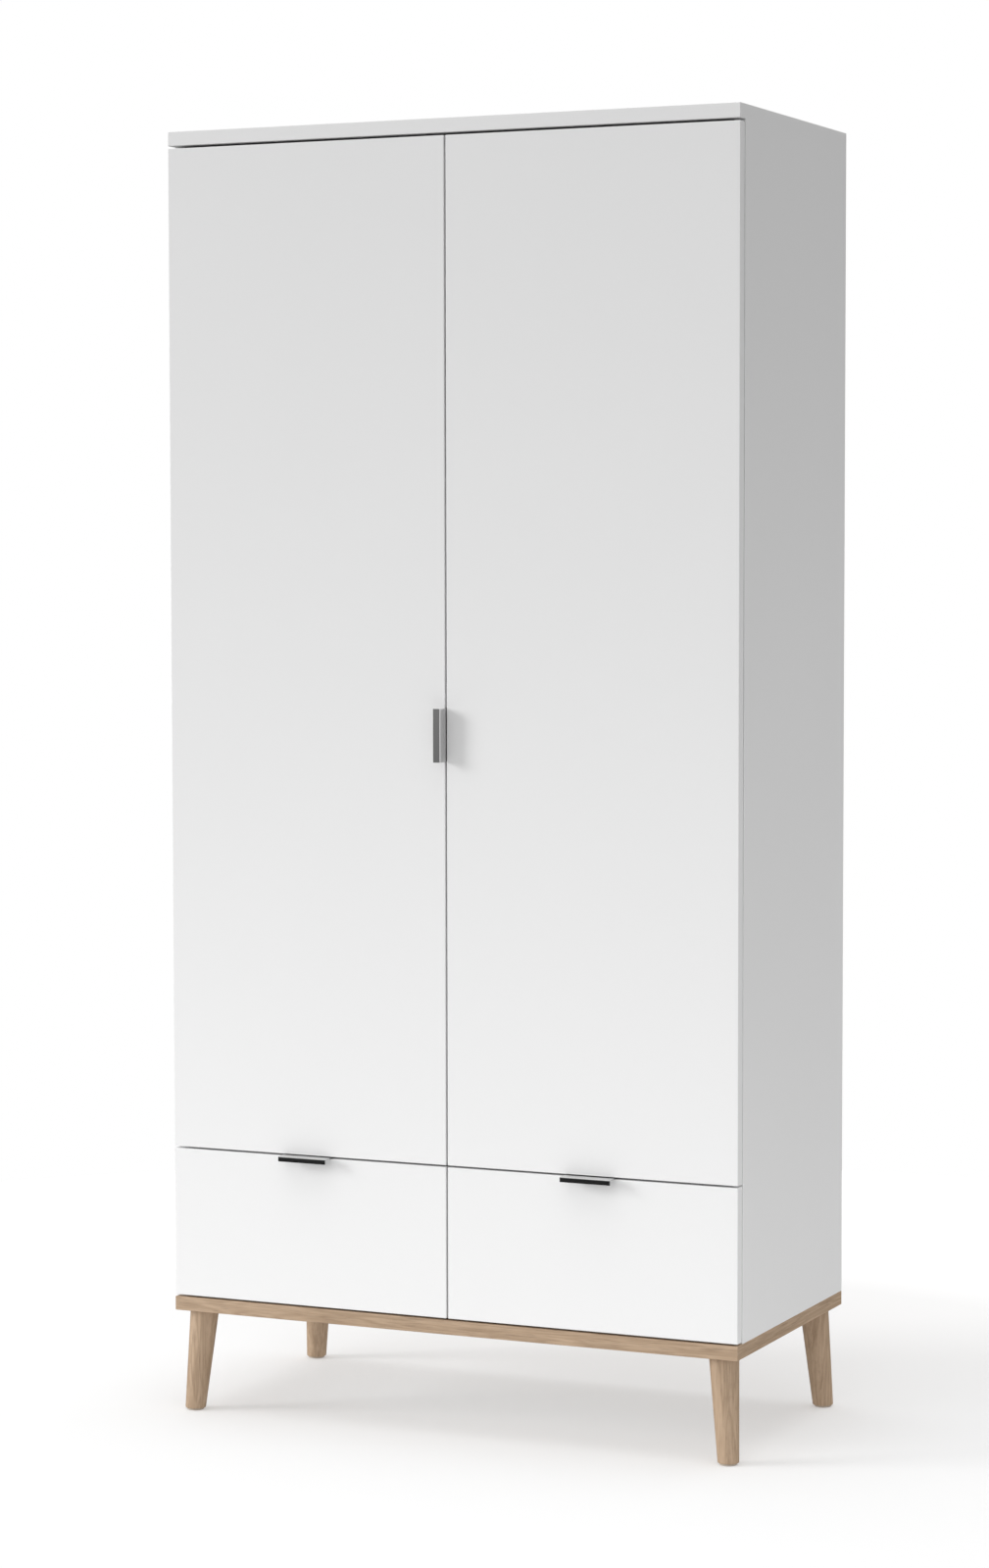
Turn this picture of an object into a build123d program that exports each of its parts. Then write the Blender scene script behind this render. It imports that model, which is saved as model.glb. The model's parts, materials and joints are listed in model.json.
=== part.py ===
"""A two-door wardrobe with two drawers, standing on an oak base with four splayed legs.

Millimetres, +Z up, the doors face -Y. The origin is on the floor, at the centre of the bounding box.
Every separate piece of the wardrobe is a solid of its own, and identical fasteners share one file.
"""

import math
import os

from build123d import *

# ---------------------------------------------------------------- driving dimensions
WIDTH = 944.0
DEPTH = 465.0  # front of the doors to the rear edge of the side panels
HEIGHT = 2000.0
BOARD = 18.0  # doors, side panels and shelves
THICK_BOARD = 22.0  # top panel and oak base
GAP = 3.0  # between two fronts that lie side by side
TOP_GAP = 4.0  # between the doors and the top panel
DOOR_STANDOFF = 4.0  # between the back of a door and the carcass
LEG_HEIGHT = 160.5
DRAWER_FRONT_HEIGHT = 232.4
HANDLE_REACH = 22.0
EDGE = 1.0  # rounding of every edge that a hand can touch

# ---------------------------------------------------------------- levels, from the floor up
base_top = LEG_HEIGHT + THICK_BOARD
bottom_top = base_top + BOARD
drawer_front_low = base_top + GAP
drawer_front_high = drawer_front_low + DRAWER_FRONT_HEIGHT
door_low = drawer_front_high + GAP
top_underside = HEIGHT - THICK_BOARD
door_high = top_underside - TOP_GAP
middle_low = (drawer_front_high + door_low) / 2 - BOARD / 2
middle_high = middle_low + BOARD
hat_shelf_low = 1684.0
rail_height = 1636.0

# ---------------------------------------------------------------- planes across the depth, front to back
lip_front = -(DEPTH + HANDLE_REACH) / 2
door_front = lip_front + HANDLE_REACH
door_back = door_front + BOARD
carcass_front = door_back + DOOR_STANDOFF
rear = door_front + DEPTH

# ---------------------------------------------------------------- planes across the width
half = WIDTH / 2
inner = half - BOARD  # inner face of a side panel
half_gap = GAP / 2
half_board = BOARD / 2

# back panel, which slides in grooves of the side panels and the top
BACK_THICKNESS = 3.0
BACK_INSET = 10.0
GROOVE_DEPTH = 6.0
GROOVE_PLAY = 0.2
STRIP_FLANGE = 1.0
back_face = rear - BACK_INSET - BACK_THICKNESS
back_groove = (back_face - GROOVE_PLAY, back_face + BACK_THICKNESS + GROOVE_PLAY)
shelf_rear = back_face - STRIP_FLANGE - GROOVE_PLAY

# hinges: cup in the door, single pivot pin in the cup, cranked arm on the side panel
HINGE_LEVELS = [door_low + 100, door_low + 480, door_high - 480, door_high - 100]
PIN_FROM_EDGE = 8.5
PIN_FROM_BACK = 7.5
PIN_RADIUS = 1.5
PIN_PLAY = 0.06
PIN_LENGTH = 22.0
EAR_HALF_HEIGHT = 2.8  # the ears in the cup that carry the pin
CUP_RADIUS = 17.5
CUP_DEPTH = 12.0
CUP_WALL = 1.2
CUP_FROM_EDGE = 20.5
CUP_SCREW_PITCH = 46.0
FLANGE_THICKNESS = 1.0
KNUCKLE_RADIUS = 2.6
ARM_THICKNESS = 2.2
ARM_NECK_WIDTH = 12.0
ARM_BODY_WIDTH = 17.0
ARM_BODY_HEIGHT = 9.4
ARM_WALL = 2.0
ARM_HOLE_RADIUS = 2.6  # the holes over the adjusting screws
ARM_HOLE_INSET = 12.0
ARM_CLEARANCE = 2.0  # arm to side panel
PLATE_SCREW_LINE = 37.0  # behind the carcass front
PLATE_SCREW_PITCH = 32.0

# drawers and their roller runners
DRAWER_SIDE = 12.0
DRAWER_SIDE_HEIGHT = 150.0
DRAWER_LENGTH = 400.0
DRAWER_BOTTOM = 3.0
RUNNER_SPACE = 12.5
STEEL = 1.2
drawer_side_low = bottom_top + 14.5
ROLLER_RADIUS = 10.0
TRACK_ROLLER_RADIUS = 10.5
roller_level = drawer_side_low + 11.0
track_inside = ROLLER_RADIUS + 0.4
slide_flange_low = roller_level + track_inside + STEEL + 0.4
track_roller_level = slide_flange_low - 0.4 - TRACK_ROLLER_RADIUS
track_roller_from_front = 14.0
AXLE_RADIUS = 2.0

# legs
LEG_TOP_RADIUS = 22.6
LEG_FOOT_RADIUS = 16.1
LEG_TOP_INSET = 34.0
LEG_FOOT_INSET = 22.4
GLIDE_THICKNESS = 3.0

os.makedirs("parts", exist_ok=True)


# ---------------------------------------------------------------- helpers
def save(builder, name):
    """Labels a finished piece and writes its STEP file."""
    builder.part.label = name
    export_step(builder.part, f"parts/{name}.step")


def block(x0, x1, y0, y1, z0, z1, mode=Mode.ADD):
    """A box between two corners, in the part that is open. The two x values may come in either order."""
    low_x, high_x = min(x0, x1), max(x0, x1)
    with Locations(((low_x + high_x) / 2, (y0 + y1) / 2, (z0 + z1) / 2)):
        return Box(high_x - low_x, y1 - y0, z1 - z0, mode=mode)


def rod(radius, length, centre, direction, mode=Mode.ADD):
    """A cylinder centred on a point, along X, Y or Z."""
    turn = {"X": (0, 90, 0), "Y": (90, 0, 0), "Z": (0, 0, 0)}[direction]
    with Locations(centre):
        return Cylinder(radius, length, rotation=turn, mode=mode)


SCREW_RADIUS = 1.6


def screw(point, direction, length=14.0, head_radius=3.2, head=1.4, radius=SCREW_RADIUS):
    """A pan-head screw. The point is under its head, and the direction is the way it is driven."""
    with BuildPart(Plane(point, z_dir=direction), mode=Mode.PRIVATE) as made:
        Cylinder(radius, length, align=(Align.CENTER, Align.CENTER, Align.MIN))
        Cylinder(head_radius, head, align=(Align.CENTER, Align.CENTER, Align.MAX))
        chamfer(made.faces().sort_by(Axis((0, 0, 0), direction))[0].edges(), head * 0.45)
    return made.part


def screw_bore(point, direction, length=14.0, radius=SCREW_RADIUS):
    """Cuts the bore that a screw's shank fills."""
    with Locations(Plane(point, z_dir=direction)):
        Cylinder(radius, length, align=(Align.CENTER, Align.CENTER, Align.MIN), mode=Mode.SUBTRACT)


# ---------------------------------------------------------------- places that two pieces share
def plate_screw_points(side):
    """Where the hinge plates' screws enter a side panel. They sit on the plate's 2 mm base."""
    y = carcass_front + PLATE_SCREW_LINE
    x = side * (inner - ARM_CLEARANCE)
    pitches = (-PLATE_SCREW_PITCH / 2, PLATE_SCREW_PITCH / 2)
    return [(x, y, level + pitch) for level in HINGE_LEVELS for pitch in pitches]


rail_y = (carcass_front + shelf_rear) / 2
SOCKET_BASE = 2.5
SOCKET_SCREW_PITCH = 44.0


def socket_screw_points(side):
    """Where the clothes rail's sockets are screwed to a side panel."""
    x = side * (inner - SOCKET_BASE)
    pitches = (-SOCKET_SCREW_PITCH / 2, SOCKET_SCREW_PITCH / 2)
    return [(x, rail_y, rail_height + pitch) for pitch in pitches]


SHELF_PIN_RADIUS = 2.5
SHELF_SETBACK = 12.0  # hat shelf behind the front edge of the sides
shelf_pin_places = [(carcass_front + 40, hat_shelf_low), (shelf_rear - 60, hat_shelf_low)]
cam_depths = [carcass_front + 45, shelf_rear - 55]
CAM_RADIUS = 7.5
CAM_HEIGHT = 12.5
CAM_REACH = 34.0
CAM_BOLT_RADIUS = 3.5
SLOT_HALF_LENGTH = 5.0  # the driver slot across a cam
SLOT_HALF_WIDTH = 0.7
SLOT_DEPTH = 1.2
middle_centre = (middle_low + middle_high) / 2
bottom_centre = (base_top + bottom_top) / 2

track_screw_depths = [carcass_front + 55, carcass_front + 185, carcass_front + 345]
TRACK_SCREW_LENGTH = 8.0
TRACK_LENGTH = 398.0
TRACK_WIDTH = 9.7
BRACKET_LEG = 30.0
BRACKET_THICKNESS = 2.0
BRACKET_WIDTH = 26.0
WALL_HOLE_RADIUS = 3.0
bracket_places = [-300.0, 300.0]
bracket_screw_y = back_face - 20.0
wall_hole_level = top_underside - 18.0

RAIL_FLAT = 70.0  # how far an oak rail reaches in under the carcass
BASE_SCREW_LENGTH = 34.0
BASE_SCREW_RADIUS = 2.2
base_screw_places = [(x, y) for x in (-250.0, 0.0, 250.0) for y in (carcass_front + 22, rear - 40)]
base_screw_places += [(side * (inner - 18), y) for side in (-1, 1) for y in (-80.0, 90.0)]

# A drawer compartment lies between a side panel and the partition: (side, outer wall, inner wall)
compartments = {"left": (-1, -inner, -half_board), "right": (1, half_board, inner)}


def drawer_walls(name):
    """The compartment's two walls, as (wall x, direction from the wall into the drawer)."""
    low, high = compartments[name][1:]
    return [(low, 1), (high, -1)]


def track_screw_points(wall, into):
    return [(wall + into * STEEL, y, roller_level) for y in track_screw_depths]


# ---------------------------------------------------------------- carcass: side panels
for name, side in (("left_side_panel", -1), ("right_side_panel", 1)):
    with BuildPart() as side_panel:
        block(side * inner, side * half, carcass_front, rear, base_top, top_underside)
        front_edges = side_panel.edges().filter_by(Axis.Z).group_by(Axis.Y)[0]
        fillet(front_edges, EDGE)
        groove_open, groove_floor = side * (inner - 1), side * (inner + GROOVE_DEPTH)
        block(groove_open, groove_floor, *back_groove, base_top, top_underside, Mode.SUBTRACT)
        for point in plate_screw_points(side):
            screw_bore(point, (side, 0, 0))
        for point in socket_screw_points(side):
            screw_bore(point, (side, 0, 0))
        wall = side * inner
        for point in track_screw_points(wall, -side):
            screw_bore(point, (side, 0, 0), TRACK_SCREW_LENGTH)
        for y, z in shelf_pin_places:
            rod(SHELF_PIN_RADIUS, 20, (wall, y, z - SHELF_PIN_RADIUS), "X", Mode.SUBTRACT)
        for y in cam_depths:
            for level in (bottom_centre, middle_centre):
                rod(CAM_BOLT_RADIUS, 20, (wall, y, level), "X", Mode.SUBTRACT)
            rod(CAM_RADIUS, 2 * CAM_HEIGHT, (wall, y, top_underside - CAM_REACH), "X", Mode.SUBTRACT)
            bolt_entry = (side * (inner + half_board), y, top_underside)
            rod(CAM_BOLT_RADIUS, 2 * CAM_REACH, bolt_entry, "Z", Mode.SUBTRACT)
    save(side_panel, name)

# ---------------------------------------------------------------- carcass: top, bottom, middle and partition
with BuildPart() as top_panel:
    block(-half, half, door_front, rear, top_underside, HEIGHT)
    upper = top_panel.edges().group_by(Axis.Z)[-1]
    corners = top_panel.edges().filter_by(Axis.Z).group_by(Axis.Y)[0]
    lower_front = top_panel.edges().filter_by(Axis.X).group_by(Axis.Z)[0].sort_by(Axis.Y)[0:1]
    fillet(upper + corners + lower_front, EDGE)
    groove_end, groove_top = inner + GROOVE_DEPTH, top_underside + GROOVE_DEPTH
    block(-groove_end, groove_end, *back_groove, top_underside - 1, groove_top, Mode.SUBTRACT)
    for x in (-inner - half_board, inner + half_board):
        for y in cam_depths:
            rod(CAM_BOLT_RADIUS, 24, (x, y, top_underside), "Z", Mode.SUBTRACT)
    for x in bracket_places:
        screw_bore((x, bracket_screw_y, top_underside - BRACKET_THICKNESS), (0, 0, 1))
save(top_panel, "top_panel")


def shelf_board(name, low, high, bolt_level, screws_below=()):
    """A board between the side panels, held at each end by two cams."""
    with BuildPart() as shelf:
        block(-inner, inner, carcass_front, shelf_rear, low, high)
        fillet(shelf.edges().filter_by(Axis.X).group_by(Axis.Y)[0], EDGE)
        for side in (-1, 1):
            for y in cam_depths:
                cam_x = side * (inner - CAM_REACH)
                rod(CAM_RADIUS, 2 * CAM_HEIGHT, (cam_x, y, low), "Z", Mode.SUBTRACT)
                rod(CAM_BOLT_RADIUS, 2 * CAM_REACH, (side * inner, y, bolt_level), "X", Mode.SUBTRACT)
        for x, y in screws_below:
            screw_bore((x, y, LEG_HEIGHT), (0, 0, 1), BASE_SCREW_LENGTH, BASE_SCREW_RADIUS)
    save(shelf, name)


shelf_board("bottom_panel", base_top, bottom_top, bottom_centre, base_screw_places)
shelf_board("middle_panel", middle_low, middle_high, middle_centre)

with BuildPart() as partition:
    block(-half_board, half_board, carcass_front, shelf_rear, bottom_top, middle_low)
    fillet(partition.edges().filter_by(Axis.Z).group_by(Axis.Y)[0], EDGE)
    for wall, into in ((-half_board, -1), (half_board, 1)):
        for point in track_screw_points(wall, into):
            screw_bore(point, (-into, 0, 0), TRACK_SCREW_LENGTH)
save(partition, "drawer_partition")

with BuildPart() as hat_shelf:
    shelf_play = 0.5
    shelf_end = inner - shelf_play
    shelf_front = carcass_front + SHELF_SETBACK
    block(-shelf_end, shelf_end, shelf_front, shelf_rear, hat_shelf_low, hat_shelf_low + BOARD)
    fillet(hat_shelf.edges().filter_by(Axis.X).group_by(Axis.Y)[0], EDGE)
save(hat_shelf, "hat_shelf")

with BuildPart() as shelf_pins:
    for side in (-1, 1):
        for y, z in shelf_pin_places:
            level = z - SHELF_PIN_RADIUS
            rod(SHELF_PIN_RADIUS, 19, (side * (inner + 0.5), y, level), "X")
            rod(4.5, 1.2, (side * (inner - 0.6), y, level - 2.4), "X")
save(shelf_pins, "shelf_pins")

# ---------------------------------------------------------------- carcass: back panels and joining strip
STRIP_WEB = 1.6
back_top = top_underside + GROOVE_DEPTH - 0.8
for name, side in (("left_back_panel", -1), ("right_back_panel", 1)):
    with BuildPart() as back_panel:
        low_x, high_x = side * (STRIP_WEB / 2 + 0.3), side * (inner + GROOVE_DEPTH - 0.8)
        block(low_x, high_x, back_face, back_face + BACK_THICKNESS, base_top, back_top)
        for x in bracket_places:
            rod(WALL_HOLE_RADIUS + 2, 10, (x, back_face, wall_hole_level), "Y", Mode.SUBTRACT)
    save(back_panel, name)

with BuildPart() as joining_strip:
    strip_front, strip_back = back_face - STRIP_FLANGE, back_face + BACK_THICKNESS + STRIP_FLANGE
    block(-STRIP_WEB / 2, STRIP_WEB / 2, strip_front, strip_back, base_top, top_underside)
    block(-13, 13, strip_front, back_face - 0.05, base_top, top_underside)
    block(-13, 13, back_face + BACK_THICKNESS + 0.05, strip_back, base_top, top_underside)
save(joining_strip, "back_joining_strip")

# ---------------------------------------------------------------- carcass: cam fasteners
with BuildPart() as cam_discs:
    for side in (-1, 1):
        for y in cam_depths:
            cam_x = side * (inner - CAM_REACH)
            slot_x = (cam_x - SLOT_HALF_LENGTH, cam_x + SLOT_HALF_LENGTH)
            slot_y = (y - SLOT_HALF_WIDTH, y + SLOT_HALF_WIDTH)
            for low in (base_top, middle_low):
                rod(CAM_RADIUS, CAM_HEIGHT, (cam_x, y, low + CAM_HEIGHT / 2), "Z")
                block(*slot_x, *slot_y, low - 1, low + SLOT_DEPTH, Mode.SUBTRACT)
            level = top_underside - CAM_REACH
            rod(CAM_RADIUS, CAM_HEIGHT, (side * (inner + CAM_HEIGHT / 2), y, level), "X")
            slot_x = (side * (inner - 1), side * (inner + SLOT_DEPTH))
            slot_y = (y - SLOT_HALF_LENGTH, y + SLOT_HALF_LENGTH)
            block(*slot_x, *slot_y, level - SLOT_HALF_WIDTH, level + SLOT_HALF_WIDTH, Mode.SUBTRACT)
            for bolt_level in (bottom_centre, middle_centre):
                rod(CAM_BOLT_RADIUS, 14, (side * (inner - CAM_REACH + 8), y, bolt_level), "X", Mode.SUBTRACT)
            rod(CAM_BOLT_RADIUS, 14, (side * (inner + half_board), y, level + 8), "Z", Mode.SUBTRACT)
save(cam_discs, "cam_discs")

with BuildPart() as cam_bolts:
    bolt_radius = CAM_BOLT_RADIUS - 0.3
    for side in (-1, 1):
        for y in cam_depths:
            for bolt_level in (bottom_centre, middle_centre):
                start, end = inner - CAM_REACH + 1.5, inner + 9.5
                rod(bolt_radius, end - start, (side * (start + end) / 2, y, bolt_level), "X")
            low, high = top_underside - CAM_REACH + 1.5, top_underside + 11.5
            rod(bolt_radius, high - low, (side * (inner + half_board), y, (low + high) / 2), "Z")
save(cam_bolts, "cam_bolts")

# ---------------------------------------------------------------- clothes rail and its sockets
RAIL_WIDTH = 15.0
RAIL_HEIGHT = 30.0
SOCKET_DEPTH = 14.0
SOCKET_LIP = 2.0
RAIL_WALL = 1.5


def upright_oval(width, height, mode=Mode.ADD):
    """A flat-sided oval that stands on end, in the sketch that is open."""
    SlotOverall(height, width, rotation=90, mode=mode)


rail_end = inner - SOCKET_BASE - 0.5
with BuildPart() as clothes_rail:
    with BuildSketch(Plane((-rail_end, rail_y, rail_height), x_dir=(0, 1, 0), z_dir=(1, 0, 0))):
        upright_oval(RAIL_WIDTH, RAIL_HEIGHT)
        offset(amount=-RAIL_WALL, mode=Mode.SUBTRACT)
    extrude(amount=2 * rail_end)
save(clothes_rail, "clothes_rail")

with BuildPart() as rail_sockets:
    for side in (-1, 1):
        socket_plane = Plane((side * inner, rail_y, rail_height), x_dir=(0, 1, 0), z_dir=(-side, 0, 0))
        with BuildSketch(socket_plane):
            upright_oval(RAIL_WIDTH + 9, SOCKET_SCREW_PITCH + 12)
        extrude(amount=SOCKET_BASE)
        with BuildSketch(socket_plane.offset(SOCKET_BASE)):
            upright_oval(RAIL_WIDTH + 2 * SOCKET_LIP, RAIL_HEIGHT + 2 * SOCKET_LIP)
            upright_oval(RAIL_WIDTH + 0.4, RAIL_HEIGHT + 0.4, Mode.SUBTRACT)
        extrude(amount=SOCKET_DEPTH - SOCKET_BASE)
        for point in socket_screw_points(side):
            rod(SCREW_RADIUS, 20, point, "X", Mode.SUBTRACT)
save(rail_sockets, "rail_sockets")

# ---------------------------------------------------------------- oak base: mitred rails and splayed legs
BOLT_RADIUS = 4.0
BOLT_TOP = base_top - 2.0
BOLT_LOW = LEG_HEIGHT - 38.0


def leg_centre(side, back, inset):
    """Centre of a leg at some height. side is -1 or 1, back is True for the rear pair."""
    return (side * (half - inset), rear - inset if back else door_front + inset)


leg_places = {
    "front_left_leg": (-1, False),
    "front_right_leg": (1, False),
    "back_left_leg": (-1, True),
    "back_right_leg": (1, True),
}

outline = [(-half, door_front), (half, door_front), (half, rear), (-half, rear)]
inside = [
    (-half + RAIL_FLAT, door_front + RAIL_FLAT),
    (half - RAIL_FLAT, door_front + RAIL_FLAT),
    (half - RAIL_FLAT, rear - RAIL_FLAT),
    (-half + RAIL_FLAT, rear - RAIL_FLAT),
]
for index, name in enumerate(("base_front_rail", "base_right_rail", "base_back_rail", "base_left_rail")):
    following = (index + 1) % 4
    with BuildPart() as base_rail:
        with BuildSketch(Plane.XY.offset(LEG_HEIGHT)):
            with BuildLine():
                Polyline(outline[index], outline[following], inside[following], inside[index], close=True)
            make_face()
        extrude(amount=THICK_BOARD)
        along = Axis.X if index % 2 == 0 else Axis.Y
        across = [Axis.Y, Axis.X, Axis.Y, Axis.X][index]
        outer_group = [0, -1, -1, 0][index]
        fillet(base_rail.edges().filter_by(along).group_by(across)[outer_group], EDGE)
        for side, back in leg_places.values():
            bolt_entry = (*leg_centre(side, back, LEG_TOP_INSET), LEG_HEIGHT)
            rod(BOLT_RADIUS, 2 * (BOLT_TOP - LEG_HEIGHT), bolt_entry, "Z", Mode.SUBTRACT)
        for x, y in base_screw_places:
            screw_bore((x, y, LEG_HEIGHT), (0, 0, 1), BASE_SCREW_LENGTH, BASE_SCREW_RADIUS)
    save(base_rail, name)

for name, (side, back) in leg_places.items():
    with BuildPart() as leg:
        with BuildSketch(Plane((*leg_centre(side, back, LEG_FOOT_INSET), GLIDE_THICKNESS))):
            Circle(LEG_FOOT_RADIUS)
        with BuildSketch(Plane((*leg_centre(side, back, LEG_TOP_INSET), LEG_HEIGHT))):
            Circle(LEG_TOP_RADIUS)
        loft()
        fillet(leg.edges().group_by(Axis.Z)[0], 1.5)
        bolt_entry = (*leg_centre(side, back, LEG_TOP_INSET), LEG_HEIGHT)
        rod(BOLT_RADIUS, 2 * (LEG_HEIGHT - BOLT_LOW), bolt_entry, "Z", Mode.SUBTRACT)
    save(leg, name)

with BuildPart() as leg_bolts:
    for side, back in leg_places.values():
        length = BOLT_TOP - BOLT_LOW
        rod(BOLT_RADIUS, length, (*leg_centre(side, back, LEG_TOP_INSET), BOLT_LOW + length / 2), "Z")
save(leg_bolts, "leg_bolts")

with BuildPart() as leg_glides:
    for side, back in leg_places.values():
        with Locations((*leg_centre(side, back, LEG_FOOT_INSET), GLIDE_THICKNESS / 2)):
            Cylinder(LEG_FOOT_RADIUS - 3, GLIDE_THICKNESS)
    fillet(leg_glides.edges().group_by(Axis.Z)[0], 1.0)
save(leg_glides, "leg_glides")

# ---------------------------------------------------------------- hinges: plates and arms, on the side panels
pin_y = door_back - PIN_FROM_BACK
plate_front = carcass_front + PLATE_SCREW_LINE - 11.0
plate_back = carcass_front + PLATE_SCREW_LINE + 11.0
RIDGE_WIDTH = 10.0
RIDGE_HEIGHT = 5.0
arm_body_front = carcass_front + 12.0
arm_body_back = carcass_front + 62.0

with BuildPart() as hinge_plates:
    for side in (-1, 1):
        x_wall, x_plate = side * inner, side * (inner - ARM_CLEARANCE)
        for level in HINGE_LEVELS:
            block(x_wall, x_plate, plate_front, plate_back, level - 25, level + 25)
            low, high = level - RIDGE_WIDTH / 2, level + RIDGE_WIDTH / 2
            block(x_plate, x_plate - side * RIDGE_HEIGHT, plate_front - 6, plate_back + 8, low, high)
            block(x_wall, x_plate, plate_front - 6, plate_back + 8, low, high)
        for point in plate_screw_points(side):
            rod(SCREW_RADIUS, 20, point, "X", Mode.SUBTRACT)
save(hinge_plates, "hinge_plates")


def from_outside(side, distance):
    """X at a distance in from the outer face of the left (-1) or right (1) side."""
    return side * (half - distance)


with BuildPart() as hinge_arms:
    for side in (-1, 1):
        leg_x = from_outside(side, BOARD + ARM_CLEARANCE + ARM_THICKNESS / 2)
        pin_x = from_outside(side, PIN_FROM_EDGE)
        outer_x = from_outside(side, BOARD + ARM_CLEARANCE)
        body_x = outer_x - side * ARM_BODY_HEIGHT
        for level in HINGE_LEVELS:
            with BuildSketch(Plane.XY.offset(level - ARM_NECK_WIDTH / 2)):
                with BuildLine():
                    FilletPolyline((pin_x, pin_y), (leg_x, pin_y), (leg_x, arm_body_front + 1), radius=3.0)
                trace(line_width=ARM_THICKNESS)
                with Locations((pin_x, pin_y)):
                    Circle(KNUCKLE_RADIUS)
                    Circle(PIN_RADIUS + PIN_PLAY, mode=Mode.SUBTRACT)
            extrude(amount=ARM_NECK_WIDTH)
            low, high = level - ARM_BODY_WIDTH / 2, level + ARM_BODY_WIDTH / 2
            block(outer_x, body_x, arm_body_front, arm_body_back, low, high)
            hollow_x = body_x + side * ARM_WALL
            hollow_y = (arm_body_front + ARM_WALL, arm_body_back + 1)
            block(outer_x + side, hollow_x, *hollow_y, low + ARM_WALL, high - ARM_WALL, Mode.SUBTRACT)
            for y in (arm_body_front + ARM_HOLE_INSET, arm_body_back - ARM_HOLE_INSET):
                rod(ARM_HOLE_RADIUS, 3 * ARM_WALL, (body_x, y, level), "X", Mode.SUBTRACT)
save(hinge_arms, "hinge_arms")

# ---------------------------------------------------------------- doors
CUP_SCREW_FROM_EDGE = 27.0
SHORT_SCREW = 11.0
HANDLE_LENGTH = 81.0
HANDLE_THICKNESS = 2.2
DOOR_HANDLE_LIP = 11.6
DRAWER_HANDLE_LIP = 8.0
HANDLE_FLANGE = 14.0
HANDLE_OUTER_BEND = 1.6
HANDLE_INNER_BEND = 0.8
HANDLE_SCREW_PITCH = 50.0
HANDLE_LEVEL = 1075.7


def cup_screw_points(side):
    x = from_outside(side, CUP_SCREW_FROM_EDGE)
    y = door_back + FLANGE_THICKNESS
    pitches = (-CUP_SCREW_PITCH / 2, CUP_SCREW_PITCH / 2)
    return [(x, y, level + pitch) for level in HINGE_LEVELS for pitch in pitches]


handle_screw_x = -half_gap - HANDLE_FLANGE / 2
door_handle_screws = [
    (handle_screw_x, door_back + HANDLE_THICKNESS, HANDLE_LEVEL - HANDLE_SCREW_PITCH / 2),
    (handle_screw_x, door_back + HANDLE_THICKNESS, HANDLE_LEVEL + HANDLE_SCREW_PITCH / 2),
]
hinge_sides = {"left": -1, "right": 1}

for name, side in hinge_sides.items():
    with BuildPart() as door:
        block(side * half_gap, side * half, door_front, door_back, door_low, door_high)
        fillet(door.edges(), EDGE)
        for level in HINGE_LEVELS:
            centre = (from_outside(side, CUP_FROM_EDGE), door_back, level)
            rod(CUP_RADIUS, 2 * (CUP_DEPTH + 0.4), centre, "Y", Mode.SUBTRACT)
        for point in cup_screw_points(side):
            screw_bore(point, (0, -1, 0), SHORT_SCREW)
        if name == "left":
            for point in door_handle_screws:
                screw_bore(point, (0, -1, 0), SHORT_SCREW)
    save(door, f"{name}_door")

    with BuildPart() as hinge_cups:
        for level in HINGE_LEVELS:
            cup_centre = (from_outside(side, CUP_FROM_EDGE), door_back, level)
            cup_plane = Plane(cup_centre, x_dir=(-side, 0, 0), z_dir=(0, 1, 0))
            with BuildSketch(cup_plane):
                Circle(CUP_RADIUS)
            extrude(amount=-CUP_DEPTH)
            with BuildSketch(cup_plane):
                Circle(CUP_RADIUS + 1)
                with Locations((CUP_SCREW_FROM_EDGE - CUP_FROM_EDGE, CUP_SCREW_PITCH / 2)):
                    Circle(5.5)
                with Locations((CUP_SCREW_FROM_EDGE - CUP_FROM_EDGE, -CUP_SCREW_PITCH / 2)):
                    Circle(5.5)
                make_hull()
            extrude(amount=FLANGE_THICKNESS)
            with BuildSketch(cup_plane.offset(FLANGE_THICKNESS)):
                Circle(CUP_RADIUS - CUP_WALL)
            extrude(amount=-(CUP_DEPTH + FLANGE_THICKNESS - CUP_WALL), mode=Mode.SUBTRACT)
            with BuildSketch(cup_plane.offset(-PIN_FROM_BACK - EAR_HALF_HEIGHT)):
                with Locations((PIN_FROM_EDGE - CUP_FROM_EDGE, 0)):
                    Rectangle(2 * EAR_HALF_HEIGHT, 2 * CUP_RADIUS)
                    Rectangle(2 * EAR_HALF_HEIGHT, ARM_NECK_WIDTH + 3, mode=Mode.SUBTRACT)
                Circle(CUP_RADIUS, mode=Mode.INTERSECT)
            extrude(amount=2 * EAR_HALF_HEIGHT)
            rod(PIN_RADIUS, PIN_LENGTH, (from_outside(side, PIN_FROM_EDGE), pin_y, level), "Z", Mode.SUBTRACT)
        for point in cup_screw_points(side):
            rod(SCREW_RADIUS, 8, point, "Y", Mode.SUBTRACT)
    save(hinge_cups, f"{name}_hinge_cups")

    with BuildPart() as hinge_pins:
        for level in HINGE_LEVELS:
            rod(PIN_RADIUS, PIN_LENGTH, (from_outside(side, PIN_FROM_EDGE), pin_y, level), "Z")
    save(hinge_pins, f"{name}_hinge_pins")

    with BuildPart() as door_screws:
        for point in cup_screw_points(side):
            add(screw(point, (0, -1, 0), SHORT_SCREW))
        if name == "left":
            for point in door_handle_screws:
                add(screw(point, (0, -1, 0), SHORT_SCREW))
    save(door_screws, f"{name}_door_screws")


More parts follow.
